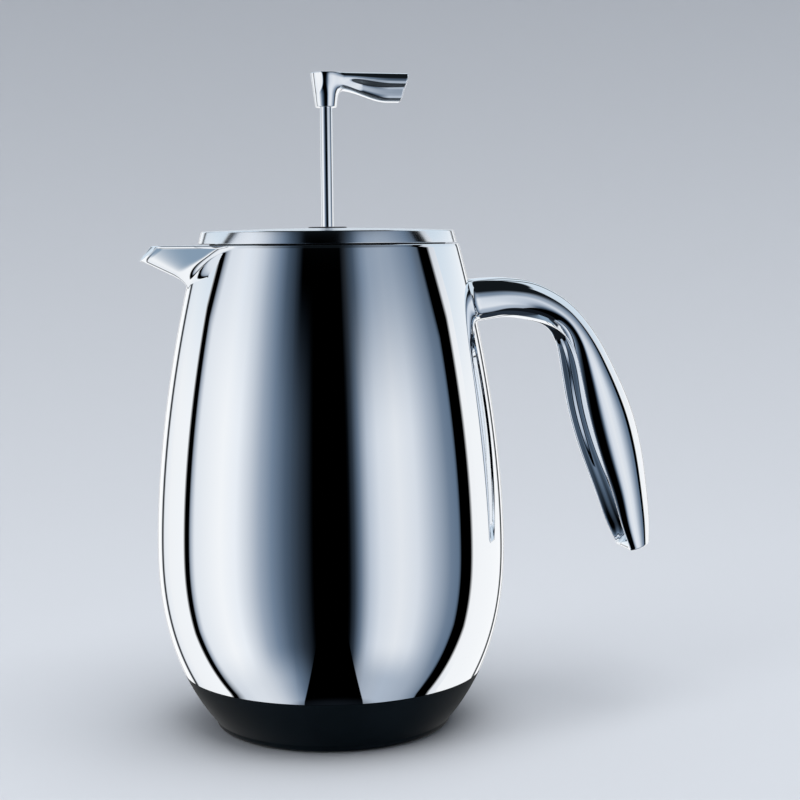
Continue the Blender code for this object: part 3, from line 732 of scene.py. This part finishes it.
# ---- Plunger -----------------------------------------------------------------------
def rod_skin():
    """Plunger rod with eased ends."""
    corners = [(0.0, ROD_TOP), (ROD_RADIUS, ROD_TOP), (ROD_RADIUS, ROD_BOTTOM), (0.0, ROD_BOTTOM)]
    return turned("rod_skin", rounded(corners, [0.5, 0.3], 4), columns=64, sharp=60)


def lever_underside(x):
    """Height of the lever's underside, which falls towards the finger's end."""
    return KNOB_TOP - 6.3 - 4.0 * smooth_step((x - 5.0) / 17.5)


def finger_dish(x, share):
    """Depth of the dish in the lever's flanks; share runs from its top to its underside."""
    wall = smooth_step((share - 0.28) / 0.30) - 0.32 * smooth_step((share - 0.60) / 0.30)
    return 1.8 * wall * smooth_step((x - 4.0) / 9.0)


def knob_field(p):
    """Distance-like field of the knob, negative inside; p has shape (n, 3)."""
    x, y, z = p[:, 0], p[:, 1], p[:, 2]
    edge_round, end_round, join_round = 0.5, 0.6, 2.2
    share = (z - KNOB_BOTTOM) / (KNOB_TOP - KNOB_BOTTOM)
    stem = np.hypot(x, y) - (3.85 + 1.65 * share)
    low, high = lever_underside(x), KNOB_TOP + 0.6
    middle, depth = (high + low) / 2, (high - low) / 2
    along = np.clip(x / KNOB_REACH, 0.0, 1.0)
    width = 5.0 + 0.7 * along - 0.4 * np.sin(np.pi * along)
    width = width - finger_dish(x, (KNOB_TOP - z) / (KNOB_TOP - low))
    rise = (z - middle) / depth
    flank_power = 2.4
    power = np.where(rise > 0.0, 3.4, 2.3)
    size = np.abs(y / width) ** flank_power + np.abs(rise) ** power + 1e-9
    lever = (size ** (1 / flank_power) - 1.0) * np.minimum(width, depth)
    lean = 0.25  # of the lever's end, as a slope
    end = (x - KNOB_REACH - (z - KNOB_TOP + 0.6) * lean) / math.hypot(1.0, lean)
    lever = smooth_max(lever, end, end_round)
    lever = smooth_max(lever, -x - 2.0, edge_round)
    joined = -smooth_max(-stem, -lever, join_round)
    joined = smooth_max(joined, z - KNOB_TOP, edge_round)
    return smooth_max(joined, KNOB_BOTTOM - z, edge_round)


def knob_skin():
    """Flared stem running into a one-sided lever, drawn onto the field from a fine cage."""
    bm = bmesh.new()
    middle = (KNOB_TOP + KNOB_BOTTOM) / 2
    tall = KNOB_TOP - KNOB_BOTTOM
    bmesh.ops.create_cone(bm, cap_ends=True, segments=48, radius1=3.8 * MM, radius2=5.4 * MM,
                          depth=tall * MM, matrix=Matrix.Translation((0, 0, middle * MM)))
    lever = Matrix.Translation(Vector((KNOB_REACH / 2, 0.0, KNOB_TOP - 4.6)) * MM)
    size = Matrix.Diagonal(((KNOB_REACH - 1.5) * MM, 9.5 * MM, 9.0 * MM, 1.0))
    bmesh.ops.create_cube(bm, size=1.0, matrix=lever @ size)
    knob = built_object("knob_skin", bm)
    for _ in range(2):
        remesh = knob.modifiers.new("cage", "REMESH")
        remesh.mode = "VOXEL"
        remesh.voxel_size = 0.2 * MM
        relax = knob.modifiers.new("relax", "SMOOTH")
        relax.factor = 0.5
        relax.iterations = 10
        bake(knob)
        draw_onto_field(knob.data, knob_field)
    return knob


def draw_onto_field(mesh, field, rounds=14):
    """Move a mesh's points onto the field's zero level, and take the normals from the field."""
    points = np.empty(len(mesh.vertices) * 3)
    mesh.vertices.foreach_get("co", points)
    points = points.reshape(-1, 3) / MM
    step = 0.01
    for _ in range(rounds):
        value = field(points)
        slope = np.stack([(field(points + step * axis) - field(points - step * axis)) / (2 * step)
                          for axis in np.eye(3)], axis=-1)
        length = np.maximum((slope ** 2).sum(axis=1), 0.05)
        move = -(value / length)[:, None] * slope
        size = np.linalg.norm(move, axis=1, keepdims=True)
        points += move * np.minimum(1.0, 0.5 / np.maximum(size, 1e-9))
    mesh.vertices.foreach_set("co", (points * MM).ravel())
    mesh.update()
    mesh.shade_smooth()
    mesh.normals_split_custom_set_from_vertices(slope / np.sqrt(length)[:, None])


def plate(name, low, inner, outer):
    """Flat ring, 1 mm thick, with eased upper edges."""
    high = low + 1.0
    corners = [(inner, low), (inner, high), (outer, high), (outer, low)]
    return turned(name, rounded(corners, [0.15, 0.15], 3), columns=160, closed=True)


def coil_skin(circle, z):
    """One closed ring of close wire turns; the circle is the radius of the coil's axis."""
    sides, steps = 7, 14
    total = COIL_TURNS * steps
    t = np.arange(total) / total * 2 * np.pi
    swing = t * COIL_TURNS
    radius = COIL_RADIUS - COIL_WIRE
    centre = np.stack([(circle + radius * np.cos(swing)) * np.cos(t),
                       (circle + radius * np.cos(swing)) * np.sin(t),
                       z + radius * np.sin(swing)], axis=-1)
    ahead = np.roll(centre, -1, axis=0) - np.roll(centre, 1, axis=0)
    ahead /= np.linalg.norm(ahead, axis=1, keepdims=True)
    out = np.stack([np.cos(t), np.sin(t), np.zeros(total)], axis=-1)
    side = np.cross(ahead, out)
    side /= np.linalg.norm(side, axis=1, keepdims=True)
    up = np.cross(side, ahead)
    verts, faces = [], []
    for k in range(sides):
        angle = 2 * math.pi * k / sides
        verts.append(centre + COIL_WIRE * (math.cos(angle) * side + math.sin(angle) * up))
    verts = np.stack(verts, axis=1).reshape(-1, 3)
    for i in range(total):
        j = (i + 1) % total
        for k in range(sides):
            n = (k + 1) % sides
            faces.append((i * sides + k, i * sides + n, j * sides + n, j * sides + k))
    return mesh_object("coil_skin", verts, faces)


def make_filter(steel, weave):
    """Filter stack from below: screw, cross plate, mesh, spiral plate with its coil, nut."""
    cross_low, mesh_low, spiral_low, nut_low, head = (
        1000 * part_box(name)[0].z
        for name in ("cross_plate", "filter_mesh", "spiral_plate", "hub_nut", "hub_screw"))
    bore = ROD_RADIUS + GAP
    cross = plate("cross_plate_skin", cross_low, bore, 40.0)
    cut_holes(cross, [hole(23.5, 60 * i, 9.0, cross_low) for i in range(6)])
    place(cross, "plunger", steel, "brushed_steel", "cross_plate")

    inside, edge = FILTER_RADIUS - MESH_WALL, mesh_low + 4.2
    corners = [(bore, mesh_low), (bore, mesh_low + MESH_WALL), (inside, mesh_low + MESH_WALL)]
    corners += [(inside, edge), (FILTER_RADIUS, edge), (FILTER_RADIUS, mesh_low)]
    profile = rounded(corners, [0.1, 0.5, 0.15, 0.15], 4)
    mesh = turned("filter_mesh_skin", profile, columns=200, closed=True)
    place(mesh, "plunger", weave, "filter_mesh", "filter_mesh")

    spiral = plate("spiral_plate_skin", spiral_low, bore, 40.8)
    holes = [hole(31.0, 30 * i, 4.5, spiral_low) for i in range(12)]
    holes += [hole(17.0, 60 * i, 4.0, spiral_low) for i in range(6)]
    cut_holes(spiral, holes)
    place(spiral, "plunger", steel, "brushed_steel", "spiral_plate")
    coil = coil_skin(inside - GAP - COIL_RADIUS, spiral_low + COIL_RADIUS)
    place(coil, "plunger", steel, "brushed_steel", "spring_coil")

    nut_top = nut_low + 8.0
    corners = [(bore, nut_low), (bore, nut_top), (5.0, nut_top), (6.2, nut_low + 6.6)]
    profile = rounded(corners + [(7.0, nut_low)], [0.2, 0.4, 0.6], 4)
    place(turned("hub_nut_skin", profile, columns=72, closed=True),
          "plunger", steel, "brushed_steel", "hub_nut")

    screw_top, head_radius, head_top = ROD_BOTTOM - GAP, 6.0, head + 1.4
    corners = [(0.0, screw_top), (ROD_RADIUS, screw_top), (ROD_RADIUS, head_top)]
    corners += [(head_radius, head_top), (head_radius, head + 0.8), (4.8, head), (0.0, head)]
    place(turned("hub_screw_skin", rounded(corners, [0.3, 0.1, 0.1, 0.3, 0.5], 4), columns=72),
          "plunger", steel, "brushed_steel", "hub_screw")


def hole(circle, degrees, radius, low):
    """A peg for cut_holes, through a plate that starts at a height."""
    angle = math.radians(degrees)
    return (circle * math.cos(angle), circle * math.sin(angle), radius, low - 1.0, low + 2.0)


# ---- Studio ------------------------------------------------------------------------
CAMERA_TURN = 12.0  # degrees from -Y towards the spout
CAMERA_DISTANCE = 0.597  # metres from the jug's axis
CAMERA_HEIGHT = 0.1773
FOCAL_PIXELS = 1643.0
FRAME_PIXELS = 800.0
PITCH = 5.63  # degrees down
AXIS_OFFSET = -70.9  # pixels from the frame's middle to the jug's axis
ROLL = 0.5  # degrees


def make_camera():
    data = bpy.data.cameras.new("camera")
    data.sensor_width = 36.0
    data.lens = FOCAL_PIXELS / FRAME_PIXELS * data.sensor_width
    data.clip_start = 0.01
    camera = new_object("camera", data)
    turn = math.radians(CAMERA_TURN)
    away = CAMERA_DISTANCE
    camera.location = (-math.sin(turn) * away, -math.cos(turn) * away, CAMERA_HEIGHT)
    aside = math.atan(AXIS_OFFSET / (FOCAL_PIXELS / math.cos(math.radians(PITCH))))
    heading = Matrix.Rotation(-turn + aside, 4, "Z")
    tilt = Matrix.Rotation(math.radians(90 - PITCH), 4, "X")
    roll = Matrix.Rotation(math.radians(-ROLL), 4, "Z")
    camera.matrix_world = Matrix.Translation(camera.location) @ heading @ tilt @ roll
    bpy.context.scene.camera = camera


# The light tent round the press: (direction in degrees to the right of the camera,
# brightness, blueness), for light from the level, from above, from below and from behind.
TENT_LEVEL = [
    (-110.5, 0.88, 0.0), (-109, 0.0, 0.0), (-104, 0.0, 0.0), (-102.5, 0.36, 0.5), (-98, 0.77, 0.1),
    (-75, 0.875, 0.0), (-63, 0.82, 0.1), (-54, 0.60, 0.25), (-46, 0.37, 0.6), (-38, 0.22, 1.0),
    (-29, 0.10, 1.25), (-20, 0.035, 1.2), (-12, 0.0, 0.0), (11, 0.0, 0.0), (14.5, 0.04, 1.2),
    (18, 0.17, 1.0), (24, 0.52, 0.4), (31, 0.69, 0.2), (44, 0.755, 0.1), (56, 0.69, 0.2),
    (69, 0.43, 0.5), (82, 0.21, 1.0), (89.5, 0.17, 1.2), (91, 0.0, 0.0), (102, 0.0, 0.0),
    (103.5, 0.84, 0.0), (112, 0.86, 0.0),
]
TENT_HIGH = [
    (-110.5, 0.80, 0.0), (-109, 0.0, 0.0), (-104, 0.0, 0.0), (-102, 0.30, 0.5), (-97, 0.68, 0.2),
    (-80, 0.745, 0.15), (-72, 0.74, 0.2), (-64, 0.675, 0.2), (-56, 0.54, 0.35), (-49, 0.36, 0.6),
    (-41, 0.21, 1.0), (-34, 0.09, 1.25), (-28, 0.045, 1.25), (-22, 0.0, 0.5), (10, 0.0, 0.0),
    (14, 0.022, 0.8), (21, 0.085, 1.2), (28, 0.24, 0.9), (34, 0.33, 0.7), (45, 0.36, 0.6),
    (54, 0.34, 0.65), (64, 0.27, 0.8), (76, 0.19, 1.1), (88, 0.10, 0.9), (90, 0.0, 0.0),
    (102, 0.0, 0.0), (104, 0.58, 0.2), (112, 0.66, 0.2),
]
TENT_LOW = [
    (-110.5, 0.90, 0.0), (-109, 0.0, 0.0), (-104, 0.0, 0.0), (-101, 0.30, 0.3), (-96, 0.64, 0.2),
    (-80, 0.71, 0.15), (-67, 0.695, 0.15), (-56, 0.63, 0.2), (-49, 0.55, 0.3), (-42, 0.43, 0.45),
    (-34, 0.30, 0.75), (-27, 0.165, 1.1), (-20, 0.08, 1.2), (-14, 0.0, 0.0), (14, 0.0, 0.0),
    (19, 0.27, 0.5), (25, 0.39, 0.5), (33, 0.44, 0.45), (44, 0.46, 0.5), (55, 0.436, 0.5),
    (67, 0.386, 0.55), (77, 0.30, 0.65), (88, 0.20, 0.9), (90, 0.0, 0.0), (102, 0.0, 0.0),
    (103.5, 0.70, 0.1), (112, 0.78, 0.1),
]
TENT_BEHIND = [
    (-180, 0.92, 0.0), (-166, 0.92, 0.0), (-164, 0.05, 0.3), (-161.5, 0.94, 0.0),
    (-148.5, 0.92, 0.0), (-147, 0.03, 0.6), (-143, 0.03, 0.6), (-141.5, 0.78, 0.1),
    (-130, 0.85, 0.0), (-110, 0.88, 0.0), (110, 0.86, 0.0), (138, 0.88, 0.0), (148, 0.90, 0.0),
    (149.5, 0.03, 0.5), (153.5, 0.03, 0.5), (155, 0.94, 0.0), (161, 0.94, 0.0),
    (164, 0.05, 0.3), (167, 0.92, 0.0),
]
BLACK = (0.0, 0.0, 0.0)
CEILING = (0.006, 0.008, 0.010)
NEAR_FLOOR = (0.006, 0.008, 0.011)
LEFT_FLOOR = (0.23, 0.31, 0.40)
RIGHT_FLOOR = (0.02, 0.028, 0.04)
HIGH_TINT = (0.70, 0.79, 0.87)  # the panels behind are dimmer and bluer high up

# Where one part of the tent fades into the next, in degrees above or below the horizon.
HIGH_FADE = (6.0, 27.0)
CEILING_FADE = (27.0, 46.0)
LOW_FADE = (33.0, 50.0)  # below the horizon, like the near floor's
NEAR_FLOOR_FADE = (59.0, 64.0)
TINT_FADE = (0.0, 22.0)  # this one and the next are behind the press
BACK_CEILING_FADE = (56.0, 61.0)
BACK_FLOOR_EDGE = 59.5  # below the horizon, on the left
BACK_FLOOR_RISE = 12.5  # the edge is this much higher on the right
BACK_FLOOR_SOFT = 2.6
BACK_FADE = (109.9, 110.4)  # to the left or right of the camera

# The bands at the sides lean in: beyond each height, by a share for each degree.
LEAN_ABOVE = (13.0, 0.008)
LEAN_BELOW = (-26.0, 0.003)
LEAN_FADE = (68.0, 92.0)
RUNNER_SLOPE = 0.292  # half width of the dark runner below the press, for each depth
TENT_RADIUS = 1.5  # metres
TENT_MIDDLE = 0.10


def make_tent():
    """Sphere of soft panels round the press, seen only in reflections."""
    bm = bmesh.new()
    bmesh.ops.create_uvsphere(bm, u_segments=96, v_segments=48, radius=TENT_RADIUS)
    tent = built_object("light_tent", bm)
    tent.location = (0.0, 0.0, TENT_MIDDLE)
    tent.rotation_euler = (0.0, 0.0, -math.radians(CAMERA_TURN))
    tent.visible_camera = False
    tent.visible_diffuse = False
    tent.visible_shadow = False
    tent.data.materials.append(tent_material())


def tent_material():
    """Light of the tent by direction, seen from the tent's middle."""
    mat = bpy.data.materials.new("light_tent")
    mat.use_nodes = True
    tree = mat.node_tree
    tree.nodes.clear()

    def calc(operation, *values):
        return maths(tree, operation, *values)

    def fade(value, low, high):
        node = tree.nodes.new("ShaderNodeMapRange")
        node.interpolation_type = "SMOOTHSTEP"
        join(tree, node.inputs[:3], (value, low, high))
        return node.outputs["Result"]

    def mixed(share, first, second, blend="MIX"):
        first, second = (colour if hasattr(colour, "node") else (*colour, 1.0)
                         for colour in (first, second))
        node = tree.nodes.new("ShaderNodeMix")
        node.data_type = "RGBA"
        node.blend_type = blend
        sockets = (node.inputs["Factor"], node.inputs["A"], node.inputs["B"])
        join(tree, sockets, (share, first, second))
        return node.outputs["Result"]

    def past(first, second, share):
        over = calc("MAXIMUM", calc("SUBTRACT", first, second), 0.0)
        return calc("MULTIPLY", over, share)

    def along_ramp(angle, stops):
        return tent_ramp(tree, calc("ADD", calc("DIVIDE", angle, 2 * math.pi), 0.5), stops)

    x, y, z = position(tree)
    turn = calc("ARCTAN2", x, calc("MULTIPLY", y, -1.0))
    level = calc("SQRT", calc("ADD", calc("MULTIPLY", x, x), calc("MULTIPLY", y, y)))
    rise = calc("DEGREES", calc("ARCTAN2", z, level))
    fall = calc("MULTIPLY", rise, -1.0)
    aside = calc("ABSOLUTE", calc("DEGREES", turn))
    lean = calc("ADD", past(rise, *LEAN_ABOVE), past(LEAN_BELOW[0], rise, LEAN_BELOW[1]))
    lean = calc("ADD", 1.0, calc("MULTIPLY", lean, fade(aside, *LEAN_FADE)))
    leaned = calc("MULTIPLY", turn, lean)

    ahead = mixed(fade(rise, *HIGH_FADE), along_ramp(leaned, TENT_LEVEL),
                  along_ramp(leaned, TENT_HIGH))
    ahead = mixed(fade(fall, *LOW_FADE), ahead, along_ramp(leaned, TENT_LOW))
    runner = calc("SUBTRACT", calc("MULTIPLY", z, -RUNNER_SLOPE), calc("ABSOLUTE", x))
    ahead = mixed(fade(runner, -0.006, 0.006), ahead, BLACK)
    ahead = mixed(fade(rise, *CEILING_FADE), ahead, CEILING)
    ahead = mixed(fade(fall, *NEAR_FLOOR_FADE), ahead, NEAR_FLOOR)

    behind = mixed(fade(rise, *TINT_FADE), along_ramp(turn, TENT_BEHIND), HIGH_TINT, "MULTIPLY")
    behind = mixed(fade(rise, *BACK_CEILING_FADE), behind, CEILING)
    rightward = fade(calc("DIVIDE", x, level), -0.3, 0.3)
    edge = calc("SUBTRACT", BACK_FLOOR_EDGE, calc("MULTIPLY", rightward, BACK_FLOOR_RISE))
    under = fade(calc("SUBTRACT", fall, edge), -BACK_FLOOR_SOFT, BACK_FLOOR_SOFT)
    behind = mixed(under, behind, mixed(rightward, LEFT_FLOOR, RIGHT_FLOOR))
    panels = mixed(fade(calc("MULTIPLY", aside, lean), *BACK_FADE), ahead, behind)

    light = tree.nodes.new("ShaderNodeEmission")
    light.inputs["Strength"].default_value = 1.12
    tree.links.new(panels, light.inputs["Color"])
    out = tree.nodes.new("ShaderNodeOutputMaterial")
    tree.links.new(light.outputs[0], out.inputs["Surface"])
    return mat


def tent_ramp(tree, share, stops):
    """Colours round the tent, for the share of the way from behind over the left and right."""
    ramp = tree.nodes.new("ShaderNodeValToRGB")
    tree.links.new(share, ramp.inputs["Fac"])
    elements = ramp.color_ramp.elements
    elements.remove(elements[-1])
    for i, (degrees, brightness, blue) in enumerate(stops):
        place_at = degrees / 360 + 0.5
        element = elements[0] if i == 0 else elements.new(place_at)
        element.position = place_at
        tint = (1.0 - 0.30 * blue, 1.0 - 0.06 * blue, 1.0 + 0.28 * blue)
        element.color = (*(brightness * channel for channel in tint), 1.0)
    return ramp.outputs["Color"]


def make_floor():
    """Round sweep: a pale floor that turns up into a pale wall on every side."""
    flat, sweep, top = 500.0, 3300.0, 4200.0
    profile = [(0.0, 0.0), (flat, 0.0)]
    profile += [(flat + sweep * math.sin(a), sweep - sweep * math.cos(a))
                for a in np.linspace(0.01, math.pi / 2, 60)]
    profile += [(flat + sweep, top)]
    floor = turned("floor", [(r, z) for r, z in reversed(profile)], columns=128)
    mat, tree, shader = shader_material("pale_floor", (0.62, 0.64, 0.67), 0.0, 0.6)
    shader.inputs["Specular IOR Level"].default_value = 0.0
    height = remap(tree, position(tree)["Z"], 0.0, 1.0, 0.0, 1.6)
    colour_between(tree, shader, height, (0.58, 0.60, 0.63), (0.42, 0.44, 0.47))
    floor.data.materials.append(mat)
    floor.visible_glossy = False


def make_light(name, location, target, size, power):
    """Soft rectangular light that is not seen in reflections; the tent is seen there."""
    data = bpy.data.lights.new(name, "AREA")
    data.shape = "RECTANGLE"
    data.size, data.size_y = size
    data.energy = power
    light = new_object(name, data)
    light.location = location
    light.rotation_euler = (Vector(target) - Vector(location)).to_track_quat("-Z", "Y").to_euler()
    light.visible_glossy = False


def make_studio():
    make_camera()
    make_tent()
    make_floor()
    make_light("top_box", (0.2, -0.4, 2.3), (0, 0, 0.1), (2.0, 2.0), 44.0)
    make_light("left_box", (-1.9, -0.95, 1.75), (0, 0, 0.05), (1.0, 2.0), 12.0)
    world = bpy.data.worlds.new("studio")
    world.use_nodes = True
    world.node_tree.nodes["Background"].inputs["Color"].default_value = (0.70, 0.73, 0.78, 1.0)
    bpy.context.scene.world = world
    bpy.context.scene.view_settings.view_transform = "Standard"


# ---- Build -------------------------------------------------------------------------
def main():
    chrome = make_chrome()
    pressed = make_lid_steel()
    steel = make_brushed()
    rubber = make_rubber()
    plastic = make_plastic("lid_plastic", (0.018, 0.019, 0.022), 0.38, 1800.0)
    silicone = make_plastic("silicone", (0.26, 0.27, 0.29), 0.52, 900.0)
    weave = make_weave()

    place(jug_skin(), "vessel", chrome, "polished_steel", "outer_shell", "spout")
    place(vessel_skin(), "vessel", steel, "brushed_steel", "inner_vessel")
    place(base_skin(), "vessel", rubber, "base_rubber", "base_cover")
    place(handle_skin(), "vessel", chrome, "polished_steel", "handle_shell", "handle_end_cap")
    place(lid_cover_skin(), "lid", pressed, "polished_steel", "lid_cover")
    place(lid_insert_skin(), "lid", plastic, "lid_plastic", "lid_insert")
    place(gasket_skin(), "lid_seal", silicone, "silicone", "lid_gasket")
    place(bush_skin(), "rod_guide", plastic, "lid_plastic", "rod_bush")
    place(rod_skin(), "plunger", chrome, "polished_steel", "plunger_rod")
    place(knob_skin(), "plunger", chrome, "polished_steel", "knob")
    make_filter(steel, weave)
    for name in ("bottom_plate", "handle_bracket", "bush_retainer", "knob_insert"):
        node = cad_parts[name]
        node.data.materials.clear()
        node.data.materials.append(steel)
        node.data.shade_smooth()
        node.data.set_sharp_from_angle(angle=math.radians(35))
    make_studio()


main()
